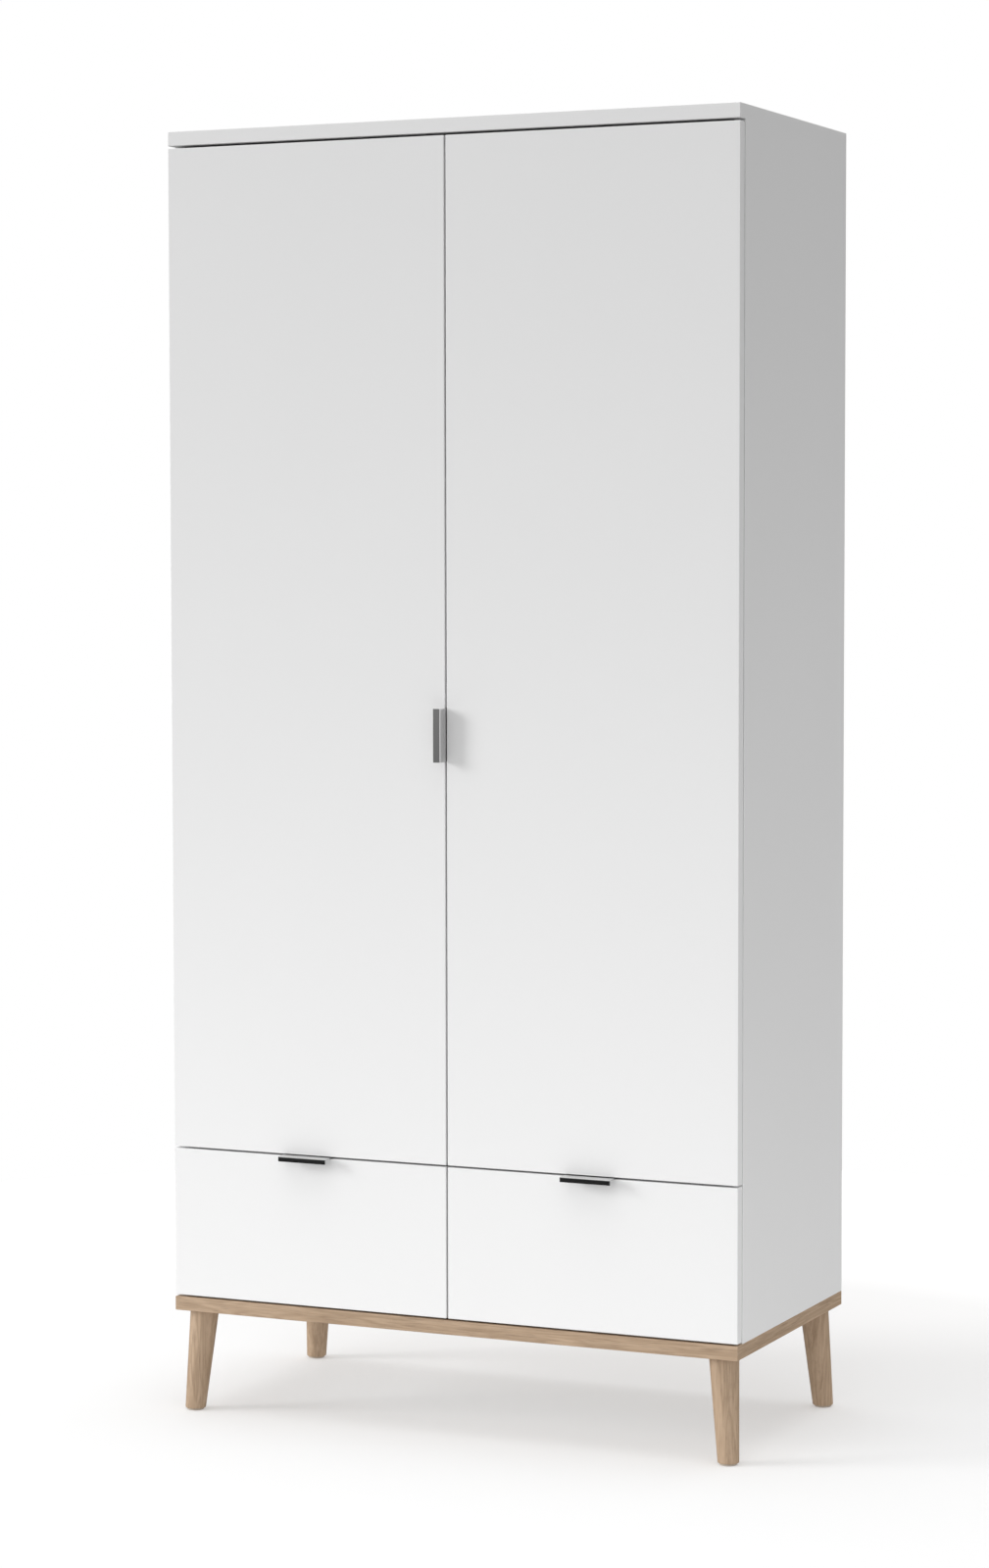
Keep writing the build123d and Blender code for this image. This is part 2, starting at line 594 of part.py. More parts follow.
# ---------------------------------------------------------------- handles
def handle(name, centre, edge_direction, run_direction, lip, screw_points):
    """A metal profile that grips a front over its edge, screwed on from behind.

    centre is on the front's edge, halfway along the handle, at the depth of the front's outer face.
    edge_direction points out of that edge, and run_direction is the way the section is extruded.
    lip is the width of the part that is seen from the front.
    """
    start = Vector(*centre) - Vector(*run_direction) * (HANDLE_LENGTH / 2)
    depth = 1 if Vector(*run_direction).cross(Vector(*edge_direction)).Y > 0 else -1
    back, front, thick = depth * BOARD, -depth * HANDLE_REACH, depth * HANDLE_THICKNESS
    with BuildPart() as made:
        with BuildSketch(Plane(start, x_dir=edge_direction, z_dir=run_direction)) as section:
            with BuildLine():
                Polyline(
                    (-HANDLE_FLANGE, back),
                    (0, back),
                    (0, front + thick),
                    (HANDLE_THICKNESS - lip, front + thick),
                    (HANDLE_THICKNESS - lip, front),
                    (HANDLE_THICKNESS, front),
                    (HANDLE_THICKNESS, back + thick),
                    (-HANDLE_FLANGE, back + thick),
                    close=True,
                )
            make_face()
            fillet(section.vertices().group_by(Axis.X)[-2], HANDLE_INNER_BEND)
            fillet(section.vertices().group_by(Axis.X)[-1], HANDLE_OUTER_BEND)
        extrude(amount=HANDLE_LENGTH)
        for point in screw_points:
            rod(SCREW_RADIUS, 8, point, "Y", Mode.SUBTRACT)
    save(made, name)


door_handle_centre = (-half_gap, door_front, HANDLE_LEVEL)
handle("door_handle", door_handle_centre, (1, 0, 0), (0, 0, 1), DOOR_HANDLE_LIP, door_handle_screws)

# ---------------------------------------------------------------- drawers
box_front = door_back
box_back = door_back + DRAWER_LENGTH
drawer_side_high = drawer_side_low + DRAWER_SIDE_HEIGHT
bottom_low = drawer_side_low + 14.0
bottom_high = bottom_low + DRAWER_BOTTOM
BOTTOM_GROOVE = 6.0
groove_levels = (bottom_low - GROOVE_PLAY, bottom_high + GROOVE_PLAY)
slide_screw_level = slide_flange_low + 7.5
slide_screw_depths = [box_front + 50, box_front + 200, box_front + 350]
roller_y = box_back - 13.0
track_roller_y = carcass_front + track_roller_from_front
SLIDE_WEB = 14.0  # the slide's upright above its flange
SLIDE_LEDGE = 9.0  # the slide's reach under the drawer side
ROLLER_NEAR = 3.0  # roller face to the compartment wall
ROLLER_FAR = 9.3
BACK_SCREW_LEVELS = [drawer_side_low + 45, drawer_side_high - 30]

with BuildPart() as drawer_tracks:
    for name in compartments:
        for wall, into in drawer_walls(name):
            face, lip = wall + into * STEEL, wall + into * TRACK_WIDTH
            low, high = roller_level - track_inside - STEEL, roller_level + track_inside + STEEL
            front, end = carcass_front + 2, carcass_front + 2 + TRACK_LENGTH
            flange_front = track_roller_y + TRACK_ROLLER_RADIUS + 3
            block(wall, face, front, end, low, high)
            block(face, lip, front, end, low, low + STEEL)
            block(face, lip, flange_front, end, high - STEEL, high)
            axle = ROLLER_FAR - STEEL
            rod(AXLE_RADIUS, axle, (face + into * axle / 2, track_roller_y, track_roller_level), "X")
            for point in track_screw_points(wall, into):
                rod(SCREW_RADIUS, 8, point, "X", Mode.SUBTRACT)
save(drawer_tracks, "drawer_tracks")


def roller_pair(name, filename, radius, y, level):
    """The two rollers, left and right of one drawer, that turn about the same line."""
    with BuildPart() as rollers:
        for wall, into in drawer_walls(name):
            centre = (wall + into * (ROLLER_NEAR + ROLLER_FAR) / 2, y, level)
            rod(radius, ROLLER_FAR - ROLLER_NEAR, centre, "X")
            rod(AXLE_RADIUS + PIN_PLAY, ROLLER_FAR, centre, "X", Mode.SUBTRACT)
        rims = rollers.edges().filter_by(GeomType.CIRCLE).group_by(SortBy.RADIUS)[-1]
        chamfer(rims, 0.5)
    save(rollers, filename)


for name, (side, compartment_low, compartment_high) in compartments.items():
    outer_low, outer_high = compartment_low + RUNNER_SPACE, compartment_high - RUNNER_SPACE
    inner_low, inner_high = outer_low + DRAWER_SIDE, outer_high - DRAWER_SIDE
    front_centre = side * (half + half_gap) / 2
    handle_screw_level = drawer_front_high - HANDLE_FLANGE / 2
    handle_screws = [
        (front_centre - HANDLE_SCREW_PITCH / 2, door_back + HANDLE_THICKNESS, handle_screw_level),
        (front_centre + HANDLE_SCREW_PITCH / 2, door_back + HANDLE_THICKNESS, handle_screw_level),
    ]

    with BuildPart() as drawer_front:
        block(side * half_gap, side * half, door_front, door_back, drawer_front_low, drawer_front_high)
        fillet(drawer_front.edges(), EDGE)
        groove_x = (inner_low - BOTTOM_GROOVE, inner_high + BOTTOM_GROOVE)
        block(*groove_x, door_back - BOTTOM_GROOVE, door_back + 1, *groove_levels, Mode.SUBTRACT)
        for point in handle_screws:
            screw_bore(point, (0, -1, 0), SHORT_SCREW)
    save(drawer_front, f"{name}_drawer_front")

    handle_centre = (front_centre, door_front, drawer_front_high)
    handle(f"{name}_drawer_handle", handle_centre, (0, 0, 1), (1, 0, 0), DRAWER_HANDLE_LIP, handle_screws)

    # the box: two sides, a back and a bottom that slides in under the back
    for which, wall, into in (("left", outer_low, 1), ("right", outer_high, -1)):
        with BuildPart() as drawer_side:
            block(wall, wall + into * DRAWER_SIDE, box_front, box_back, drawer_side_low, drawer_side_high)
            fillet(drawer_side.edges().filter_by(Axis.Y).group_by(Axis.Z)[-1], EDGE)
            deep = wall + into * (DRAWER_SIDE - BOTTOM_GROOVE)
            open_side = wall + into * (DRAWER_SIDE + 1)
            block(deep, open_side, box_front - 1, box_back + 1, *groove_levels, Mode.SUBTRACT)
            for y in slide_screw_depths:
                screw_bore((wall - into * STEEL, y, slide_screw_level), (into, 0, 0), 9.0)
            for level in BACK_SCREW_LEVELS:
                screw_bore((wall, box_back - DRAWER_SIDE / 2, level), (into, 0, 0), 30.0)
        save(drawer_side, f"{name}_drawer_{which}_side")

    with BuildPart() as drawer_back:
        block(inner_low, inner_high, box_back - DRAWER_SIDE, box_back, bottom_high, drawer_side_high - 4)
        fillet(drawer_back.edges().filter_by(Axis.X).group_by(Axis.Z)[-1], EDGE)
        for level in BACK_SCREW_LEVELS:
            screw_bore((outer_low, box_back - DRAWER_SIDE / 2, level), (1, 0, 0), 30.0)
            screw_bore((outer_high, box_back - DRAWER_SIDE / 2, level), (-1, 0, 0), 30.0)
    save(drawer_back, f"{name}_drawer_back")

    with BuildPart() as drawer_bottom:
        play = 0.4
        reach = BOTTOM_GROOVE - play
        block(inner_low - reach, inner_high + reach, box_front - reach, box_back, bottom_low, bottom_high)
    save(drawer_bottom, f"{name}_drawer_bottom")

    # steel slides under the box, each with a roller near its rear end
    with BuildPart() as slides:
        for wall, into in drawer_walls(name):
            outside, against = wall + into * (RUNNER_SPACE - STEEL), wall + into * RUNNER_SPACE
            low, high = drawer_side_low - STEEL, slide_flange_low + SLIDE_WEB
            length = (box_front + 1, box_back)
            block(outside, against, *length, low, high)
            block(against, against + into * SLIDE_LEDGE, *length, low, drawer_side_low)
            block(wall + into * 2 * STEEL, outside, *length, slide_flange_low, slide_flange_low + STEEL)
            axle = RUNNER_SPACE - STEEL - ROLLER_NEAR
            rod(AXLE_RADIUS, axle, (outside - into * axle / 2, roller_y, roller_level), "X")
            for y in slide_screw_depths:
                rod(SCREW_RADIUS, 8, (outside, y, slide_screw_level), "X", Mode.SUBTRACT)
    save(slides, f"{name}_drawer_slides")

    with BuildPart() as drawer_screws:
        for point in handle_screws:
            add(screw(point, (0, -1, 0), SHORT_SCREW))
        for wall, into in ((outer_low, 1), (outer_high, -1)):
            for y in slide_screw_depths:
                add(screw((wall - into * STEEL, y, slide_screw_level), (into, 0, 0), 9.0, head=1.2))
            for level in BACK_SCREW_LEVELS:
                add(screw((wall, box_back - DRAWER_SIDE / 2, level), (into, 0, 0), 30.0))
    save(drawer_screws, f"{name}_drawer_screws")

    roller_pair(name, f"{name}_track_rollers", TRACK_ROLLER_RADIUS, track_roller_y, track_roller_level)
    roller_pair(name, f"{name}_slide_rollers", ROLLER_RADIUS, roller_y, roller_level)

# ---------------------------------------------------------------- brackets that tie the wardrobe to a wall
with BuildPart() as wall_brackets:
    for x in bracket_places:
        width = (x - BRACKET_WIDTH / 2, x + BRACKET_WIDTH / 2)
        flat_low, leg_low = top_underside - BRACKET_THICKNESS, top_underside - BRACKET_LEG
        block(*width, back_face - BRACKET_LEG, back_face, flat_low, top_underside)
        block(*width, back_face - BRACKET_THICKNESS, back_face, leg_low, top_underside)
        rod(WALL_HOLE_RADIUS, 10, (x, back_face, wall_hole_level), "Y", Mode.SUBTRACT)
        rod(SCREW_RADIUS, 10, (x, bracket_screw_y, top_underside), "Z", Mode.SUBTRACT)
save(wall_brackets, "wall_brackets")

# ---------------------------------------------------------------- every screw that stays in the carcass
with BuildPart() as carcass_screws:
    for side in (-1, 1):
        for point in plate_screw_points(side) + socket_screw_points(side):
            add(screw(point, (side, 0, 0)))
    for name in compartments:
        for wall, into in drawer_walls(name):
            for point in track_screw_points(wall, into):
                add(screw(point, (-into, 0, 0), TRACK_SCREW_LENGTH))
    for x, y in base_screw_places:
        add(screw((x, y, LEG_HEIGHT), (0, 0, 1), BASE_SCREW_LENGTH, 4.5, 2.0, BASE_SCREW_RADIUS))
    for x in bracket_places:
        add(screw((x, bracket_screw_y, top_underside - BRACKET_THICKNESS), (0, 0, 1)))
save(carcass_screws, "carcass_screws")
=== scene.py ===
# %% [markdown]
# # A white wardrobe on an oak base
#
# The wardrobe has two tall doors over two drawers, and it stands on four splayed oak legs. Its shape
# comes from a finished CAD model, which is loaded here as a frame. This lesson gives every part a
# finish, adds the small things that a CAD model leaves plain, such as the crosses in the screw heads,
# and lights the result. All lengths are in metres, +Z is up, and the doors face -Y.

import json
import math

import bmesh
import bpy
from mathutils import Matrix, Vector


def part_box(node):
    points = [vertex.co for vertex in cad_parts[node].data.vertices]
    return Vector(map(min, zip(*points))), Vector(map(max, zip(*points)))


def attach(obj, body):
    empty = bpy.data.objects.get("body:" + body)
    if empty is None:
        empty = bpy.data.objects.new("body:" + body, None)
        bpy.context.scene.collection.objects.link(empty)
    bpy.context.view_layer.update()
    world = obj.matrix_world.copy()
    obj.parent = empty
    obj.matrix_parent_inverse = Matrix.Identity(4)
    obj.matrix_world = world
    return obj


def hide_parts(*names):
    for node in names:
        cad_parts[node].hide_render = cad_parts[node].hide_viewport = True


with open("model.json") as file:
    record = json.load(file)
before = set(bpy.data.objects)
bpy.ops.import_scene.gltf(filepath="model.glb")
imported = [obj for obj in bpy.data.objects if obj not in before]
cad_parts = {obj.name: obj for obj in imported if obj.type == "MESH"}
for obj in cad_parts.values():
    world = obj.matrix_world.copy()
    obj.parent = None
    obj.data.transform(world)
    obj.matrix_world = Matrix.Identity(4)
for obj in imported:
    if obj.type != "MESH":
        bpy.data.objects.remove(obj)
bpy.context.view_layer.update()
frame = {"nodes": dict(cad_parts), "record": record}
record = frame["record"]
nodes = frame["nodes"]

# %% [markdown]
# ## The camera
#
# A catalogue view of furniture is taken with a long lens from a few metres away, so upright edges stay
# nearly upright. The camera could be placed by eye, but here its place, turn and lens were worked out
# from the proportions of the front and the side, so they are written down as numbers. It stands to the
# right of the front, a little above the middle, and looks slightly down.

# %% Camera
CAMERA_PLACE = Vector((2.4334, -5.4203, 1.3629))
CAMERA_TURN = 24.35
CAMERA_DIP = 3.60
CAMERA_ROLL = -0.09
FOCAL_LENGTH = 87.4  # the lens and the sensor are in millimetres
SENSOR_WIDTH = 36.0
SEES_AS_FAR_AS = 60.0

lens = bpy.data.cameras.new("studio_camera")
lens.lens = FOCAL_LENGTH
lens.sensor_width = SENSOR_WIDTH
lens.clip_end = SEES_AS_FAR_AS
camera = bpy.data.objects.new("studio_camera", lens)
camera.location = CAMERA_PLACE
turned_left = Matrix.Rotation(math.radians(CAMERA_TURN), 4, "Z")
tipped_up = Matrix.Rotation(math.radians(90 - CAMERA_DIP), 4, "X")
rolled = Matrix.Rotation(math.radians(CAMERA_ROLL), 4, "Z")
camera.rotation_euler = (turned_left @ tipped_up @ rolled).to_euler()
bpy.context.scene.collection.objects.link(camera)
bpy.context.scene.camera = camera
print("camera at", tuple(round(v, 2) for v in CAMERA_PLACE))

# %% [markdown]
# ## The studio
#
# White furniture is shown on a white floor that runs out of sight. Three things light it here. An even
# grey sky gives most of the light, and the bright floor lifts the lower half of the wardrobe. A weak
# overhead light, a sun with a very wide disc, whitens the floor and leaves a soft shadow under the
# base. A large panel, far off to the front left, gives the handles their shadows and makes the front
# lighter than the right side. The panel is far away because a near one would light the left door more
# than the right.

# %% Floor
FLOOR_RADIUS = 2.4
FLOOR_SEGMENTS = 128

floor_mesh = bpy.data.meshes.new("studio_floor")
rim = bmesh.new()
bmesh.ops.create_circle(rim, cap_ends=True, radius=FLOOR_RADIUS, segments=FLOOR_SEGMENTS)
rim.to_mesh(floor_mesh)
rim.free()
studio_floor = bpy.data.objects.new("studio_floor", floor_mesh)
bpy.context.scene.collection.objects.link(studio_floor)
studio_floor.visible_glossy = False
print("floor", 2 * FLOOR_RADIUS, "m across")

# %% Lamps
OVERHEAD_ENERGY = 0.85
OVERHEAD_WIDTH = math.radians(50)
OVERHEAD_PLACE = (-0.4, -0.6, 6.0)
PANEL_SIZE = (7.8, 10.5)
PANEL_ENERGY = 3400
PANEL_PLACE = (-21.3, -11.9, 7.3)
PANEL_TARGET = (0, 0, 1.0)

bpy.context.scene.view_settings.view_transform = "Standard"


def point_at(lamp, place, target):
    """Sets a lamp at a place and turns it to face a target."""
    lamp.location = place
    lamp.rotation_euler = (Vector(target) - Vector(place)).to_track_quat("-Z", "Y").to_euler()


overhead = bpy.data.lights.new("overhead_light", "SUN")
overhead.energy = OVERHEAD_ENERGY
overhead.angle = OVERHEAD_WIDTH
overhead_lamp = bpy.data.objects.new("overhead_light", overhead)
point_at(overhead_lamp, OVERHEAD_PLACE, (0, 0, 0))

panel = bpy.data.lights.new("front_left_panel", "AREA")
panel.shape = "RECTANGLE"
panel.size, panel.size_y = PANEL_SIZE
panel.energy = PANEL_ENERGY
panel_lamp = bpy.data.objects.new("front_left_panel", panel)
point_at(panel_lamp, PANEL_PLACE, PANEL_TARGET)

for lamp in (overhead_lamp, panel_lamp):
    bpy.context.scene.collection.objects.link(lamp)
    print("lamp", lamp.name)

# %% [markdown]
# ## Node helpers
#
# Every finish below is a small network of shader nodes. Typing out each node takes three or four lines,
# so two helpers shorten it: `place` adds a node with its settings and values, and `join` draws a wire.
# An effect that several finishes share is a node group, which is made with `start_group`, and used
# through `use_group`.

# %% Helpers for shader nodes


def place(tree, kind, values=None, **settings):
    """Adds a shader node. Values go to its inputs by name, and settings to its properties."""
    made = tree.nodes.new("ShaderNode" + kind)
    for name, value in settings.items():
        setattr(made, name, value)
    for name, value in (values or {}).items():
        made.inputs[name].default_value = value
    return made


def join(tree, source, target):
    """Wires an output to an input."""
    tree.links.new(source, target)


SOCKETS = {"number": "NodeSocketFloat", "colour": "NodeSocketColor", "vector": "NodeSocketVector"}


def start_group(name, inputs, outputs):
    """Makes an empty node group. Inputs are (name, kind, default) and outputs are (name, kind)."""
    tree = bpy.data.node_groups.new(name, "ShaderNodeTree")
    for label, kind, default in inputs:
        socket = tree.interface.new_socket(name=label, in_out="INPUT", socket_type=SOCKETS[kind])
        if default is not None:
            socket.default_value = default
    for label, kind in outputs:
        tree.interface.new_socket(name=label, in_out="OUTPUT", socket_type=SOCKETS[kind])
    return tree, tree.nodes.new("NodeGroupInput"), tree.nodes.new("NodeGroupOutput")


def use_group(tree, group, values=None):
    """Places a finished group in a material, with its own values."""
    made = tree.nodes.new("ShaderNodeGroup")
    made.node_tree = group
    for name, value in (values or {}).items():
        made.inputs[name].default_value = value
    return made


def maths(tree, operation, a, b=0.5):
    """A Math node. Each of a and b is a number or an output."""
    made = place(tree, "Math", operation=operation)
    for index, value in enumerate((a, b)):
        if isinstance(value, (int, float)):
            made.inputs[index].default_value = value
        else:
            join(tree, value, made.inputs[index])
    return made.outputs[0]


def spread(tree, value, low, high, new_low, new_high):
    """Maps one span of numbers onto another."""
    made = place(tree, "MapRange", {"From Min": low, "From Max": high, "To Min": new_low, "To Max": new_high})
    join(tree, value, made.inputs["Value"])
    return made.outputs["Result"]


def mix_colours(tree, amount, first, second, blend_type="MIX"):
    """Mixes two colours, each an output or a (red, green, blue) triple."""
    made = place(tree, "Mix", data_type="RGBA", blend_type=blend_type)
    for socket, value in ((made.inputs["Factor"], amount), (made.inputs[6], first), (made.inputs[7], second)):
        if isinstance(value, (int, float)):
            socket.default_value = value
        elif isinstance(value, tuple):
            socket.default_value = (*value, 1.0)
        else:
            join(tree, value, socket)
    return made.outputs[2]


def finish_material(name):
    """An empty material and its Principled BSDF."""
    made = bpy.data.materials.new(name)
    made.use_nodes = True
    return made, made.node_tree, made.node_tree.nodes["Principled BSDF"]


def bump_from(tree, shader, height, depth):
    """Feeds a height, in 0 to 1, to the shader's normal as a bump of that depth in metres."""
    bump = place(tree, "Bump", {"Strength": 1.0, "Distance": depth})
    join(tree, height, bump.inputs["Height"])
    join(tree, bump.outputs["Normal"], shader.inputs["Normal"])


print("node helpers ready")

# %% [markdown]
# ## The sky
#
# The sky lights the wardrobe and shows in its metal. Only the camera sees it as plain white. Everything
# else sees grey above the horizon, a little lighter on the side away from the panel, and nearly black
# below, because a studio has no light under its floor. What the metal reflects is set apart from what
# lights the boards: the change at the horizon makes a low handle look black while one at eye level
# looks grey, and a bright patch to the right draws the light line down its bend.

# %% Sky
PANEL_SIDE_SKY = 0.74
FAR_SIDE_SKY = 0.79
LOWER_SKY = 0.02
PANEL_DIRECTION = (-0.80, -0.60, 0.0)
HORIZON_STEPS = [(0.0, 0.02), (0.452, 0.02), (0.478, 0.36), (0.60, 0.42), (1.0, 0.62)]
PATCH_DIRECTION = (0.90, -0.43, 0.0)
PATCH_BRIGHTNESS = 1.4

world = bpy.data.worlds.new("studio_sky")
world.use_nodes = True
bpy.context.scene.world = world
sky = world.node_tree
sky_shader = sky.nodes["Background"]
height = place(sky, "SeparateXYZ")
compass = place(sky, "TexCoord").outputs["Generated"]
join(sky, compass, height.inputs[0])
mirrored = place(sky, "ValToRGB")
for index, (position, grey) in enumerate(HORIZON_STEPS):
    step = mirrored.color_ramp.elements[index] if index < 2 else mirrored.color_ramp.elements.new(position)
    step.position = position
    step.color = (grey, grey, grey, 1.0)
join(sky, spread(sky, height.outputs["Z"], -1.0, 1.0, 0.0, 1.0), mirrored.inputs[0])
above = spread(sky, height.outputs["Z"], -0.02, 0.02, 0.0, 1.0)
side = place(sky, "VectorMath", operation="DOT_PRODUCT")
side.inputs[1].default_value = PANEL_DIRECTION
join(sky, compass, side.inputs[0])
towards_panel = spread(sky, side.outputs["Value"], -0.7, 0.7, 0.0, 1.0)
upper = mix_colours(sky, towards_panel, (FAR_SIDE_SKY,) * 3, (PANEL_SIDE_SKY,) * 3)
lighting = mix_colours(sky, above, (LOWER_SKY,) * 3, upper)
ray = place(sky, "LightPath")
patch = place(sky, "VectorMath", operation="DOT_PRODUCT")
patch.inputs[1].default_value = PATCH_DIRECTION
join(sky, compass, patch.inputs[0])
in_patch = spread(sky, patch.outputs["Value"], 0.84, 0.94, 0.0, 1.0)
patched = mix_colours(sky, in_patch, mirrored.outputs[0], (PATCH_BRIGHTNESS,) * 3)
in_metal = mix_colours(sky, ray.outputs["Is Glossy Ray"], lighting, patched)
seen = mix_colours(sky, ray.outputs["Is Camera Ray"], in_metal, (1.0, 1.0, 1.0))
join(sky, seen, sky_shader.inputs["Color"])
print("sky with", len(HORIZON_STEPS), "steps in the metal")

# %% [markdown]
# ## The floor's paper
#
# The paper floor carries a weak emission. This is painted light: it stands in for the light that reaches a
# white studio floor from everywhere, keeps the shadow under the base from going dark, and grows towards the
# rim so that the far floor whitens.

# %% Floor finish
FLOOR_WHITE = 0.6
FAR_GLOW = 0.75
GLOW_STARTS = 1.15
FLOOR_GLOW = 0.31

floor_finish, tree, shader = finish_material("studio_paper")
paper = place(tree, "TexNoise", {"Scale": 900.0, "Detail": 3.0})
join(tree, place(tree, "TexCoord").outputs["Object"], paper.inputs["Vector"])
shader.inputs["Base Color"].default_value = (FLOOR_WHITE, FLOOR_WHITE, FLOOR_WHITE, 1.0)
shader.inputs["Roughness"].default_value = 0.9
shader.inputs["Specular IOR Level"].default_value = 0.0
shader.inputs["Emission Color"].default_value = (1.0, 1.0, 1.0, 1.0)
distance = place(tree, "VectorMath", operation="LENGTH")
join(tree, place(tree, "TexCoord").outputs["Object"], distance.inputs[0])
# painted light: the floor's emission is weak near the wardrobe, where it lifts the shadow, and stronger
# towards the rim
glow = spread(tree, distance.outputs["Value"], GLOW_STARTS, FLOOR_RADIUS, FLOOR_GLOW, FAR_GLOW)
join(tree, glow, shader.inputs["Emission Strength"])
bump_from(tree, shader, paper.outputs["Fac"], 0.00005)
studio_floor.data.materials.append(floor_finish)
print("floor finished")

# %% [markdown]
# ## Worn and rubbed edges
#
# Lacquer is thinnest on a corner, and hands and cloths polish it there. One group finds the edges for
# every finish: it compares the true surface direction with one that is rounded over a small radius, and
# where the two differ there is an edge. A noise breaks the result up, so that the rub is never an even
# line.

# %% Group: edge rub
edge_rub, given, result = start_group(
    "edge_rub",
    [("Radius", "number", 0.0015), ("Break Up", "number", 60.0), ("Amount", "number", 0.5)],
    [("Mask", "number")],
)
rounded = place(edge_rub, "Bevel", samples=4)
join(edge_rub, given.outputs["Radius"], rounded.inputs["Radius"])
true_normal = place(edge_rub, "NewGeometry").outputs["Normal"]
agreement = place(edge_rub, "VectorMath", operation="DOT_PRODUCT")
join(edge_rub, rounded.outputs[0], agreement.inputs[0])
join(edge_rub, true_normal, agreement.inputs[1])
near_edge = spread(edge_rub, agreement.outputs["Value"], 0.995, 0.80, 0.0, 1.0)
patches = place(edge_rub, "TexNoise", {"Detail": 4.0, "Roughness": 0.6})
join(edge_rub, place(edge_rub, "TexCoord").outputs["Object"], patches.inputs["Vector"])
join(edge_rub, given.outputs["Break Up"], patches.inputs["Scale"])
kept = spread(edge_rub, patches.outputs["Fac"], 0.35, 0.65, 0.2, 1.0)
broken = maths(edge_rub, "MULTIPLY", near_edge, kept)
join(edge_rub, maths(edge_rub, "MULTIPLY", broken, given.outputs["Amount"]), result.inputs["Mask"])
print("group", edge_rub.name)

# %% [markdown]
# ## White lacquer
#
# The fronts, sides and top are fibreboard under sprayed white lacquer. Sprayed paint dries with a faint
# orange peel a few millimetres across, and a cloth leaves it a little glossier in some places than in
# others. Both are noises: a fine one for the height, and a broad one for the roughness and a trace of
# tone.

# %% Group: sprayed skin
sprayed_skin, given, result = start_group(
    "sprayed_skin",
    [
        ("Colour", "colour", (0.8, 0.8, 0.8, 1.0)),
        ("Peel Size", "number", 0.003),
        ("Roughness", "number", 0.35),
        ("Roughness Spread", "number", 0.06),
        ("Tone Spread", "number", 0.015),
    ],
    [("Colour", "colour"), ("Roughness", "number"), ("Height", "number")],
)
here = place(sprayed_skin, "TexCoord").outputs["Object"]
peel = place(sprayed_skin, "TexNoise", {"Detail": 1.5, "Roughness": 0.4})
join(sprayed_skin, here, peel.inputs["Vector"])
join(sprayed_skin, maths(sprayed_skin, "DIVIDE", 1.0, given.outputs["Peel Size"]), peel.inputs["Scale"])
wiped = place(sprayed_skin, "TexNoise", {"Scale": 2.3, "Detail": 5.0, "Roughness": 0.55, "Distortion": 0.6})
join(sprayed_skin, here, wiped.inputs["Vector"])
centred = maths(sprayed_skin, "SUBTRACT", wiped.outputs["Fac"], 0.5)
shift = maths(sprayed_skin, "MULTIPLY", centred, given.outputs["Roughness Spread"])
join(sprayed_skin, maths(sprayed_skin, "ADD", given.outputs["Roughness"], shift), result.inputs["Roughness"])
tone = maths(sprayed_skin, "ADD", 1.0, maths(sprayed_skin, "MULTIPLY", centred, given.outputs["Tone Spread"]))
toned = place(sprayed_skin, "VectorMath", operation="SCALE")
join(sprayed_skin, given.outputs["Colour"], toned.inputs[0])
join(sprayed_skin, tone, toned.inputs["Scale"])
join(sprayed_skin, toned.outputs[0], result.inputs["Colour"])
join(sprayed_skin, peel.outputs["Fac"], result.inputs["Height"])
print("group", sprayed_skin.name)

# %% Finish: a sprayed or coated board
BOARD_IOR = 1.45
COAT_ROUGHNESS = 0.22
BOARD_RUB = {"Radius": 0.0012, "Break Up": 35.0, "Amount": 0.35}
SMOOTHED_BY_RUBBING = 0.12

finishes = {}


def coated_board(name, colour, roughness, peel_size, peel_depth, rub_colour, coat=0.0):
    """A white board skin. rub_colour is what shows where its edges are rubbed."""
    made, tree, shader = finish_material(name)
    values = {"Colour": (*colour, 1.0), "Peel Size": peel_size, "Roughness": roughness}
    skin = use_group(tree, sprayed_skin, values)
    rub = use_group(tree, edge_rub, BOARD_RUB).outputs["Mask"]
    worn = mix_colours(tree, rub, skin.outputs["Colour"], rub_colour)
    join(tree, worn, shader.inputs["Base Color"])
    smoothing = maths(tree, "MULTIPLY", rub, SMOOTHED_BY_RUBBING)
    smoothed = maths(tree, "SUBTRACT", skin.outputs["Roughness"], smoothing)
    join(tree, smoothed, shader.inputs["Roughness"])
    shader.inputs["IOR"].default_value = BOARD_IOR
    shader.inputs["Coat Weight"].default_value = coat
    shader.inputs["Coat Roughness"].default_value = COAT_ROUGHNESS
    bump_from(tree, shader, skin.outputs["Height"], peel_depth)
    return made


finishes["white_lacquer"] = coated_board(
    "white_lacquer", (0.86, 0.86, 0.86), 0.38, 0.0026, 0.00002, coat=0.15, rub_colour=(0.80, 0.79, 0.77)
)
finishes["white_melamine"] = coated_board(
    "white_melamine", (0.84, 0.84, 0.835), 0.52, 0.0009, 0.00003, rub_colour=(0.76, 0.74, 0.70)
)
print("finishes", list(finishes))

# %% [markdown]
# ## Thin fibreboard
#
# The back and the drawer bottoms are 3 mm fibreboard. One face carries a white foil and the other is
# bare, brown and fibrous. The surface direction tells the two apart: the foil is on the side that is
# seen in use, the front of the back panels and the top of the drawer bottoms.

# %% Finish: fibreboard with one white face
FOIL = {"Colour": (0.82, 0.82, 0.81, 1.0), "Peel Size": 0.0012, "Roughness": 0.5}
DARK_FIBRE, LIGHT_FIBRE = (0.20, 0.12, 0.065), (0.36, 0.24, 0.14)
FIBRE_DEPTH = 0.00006


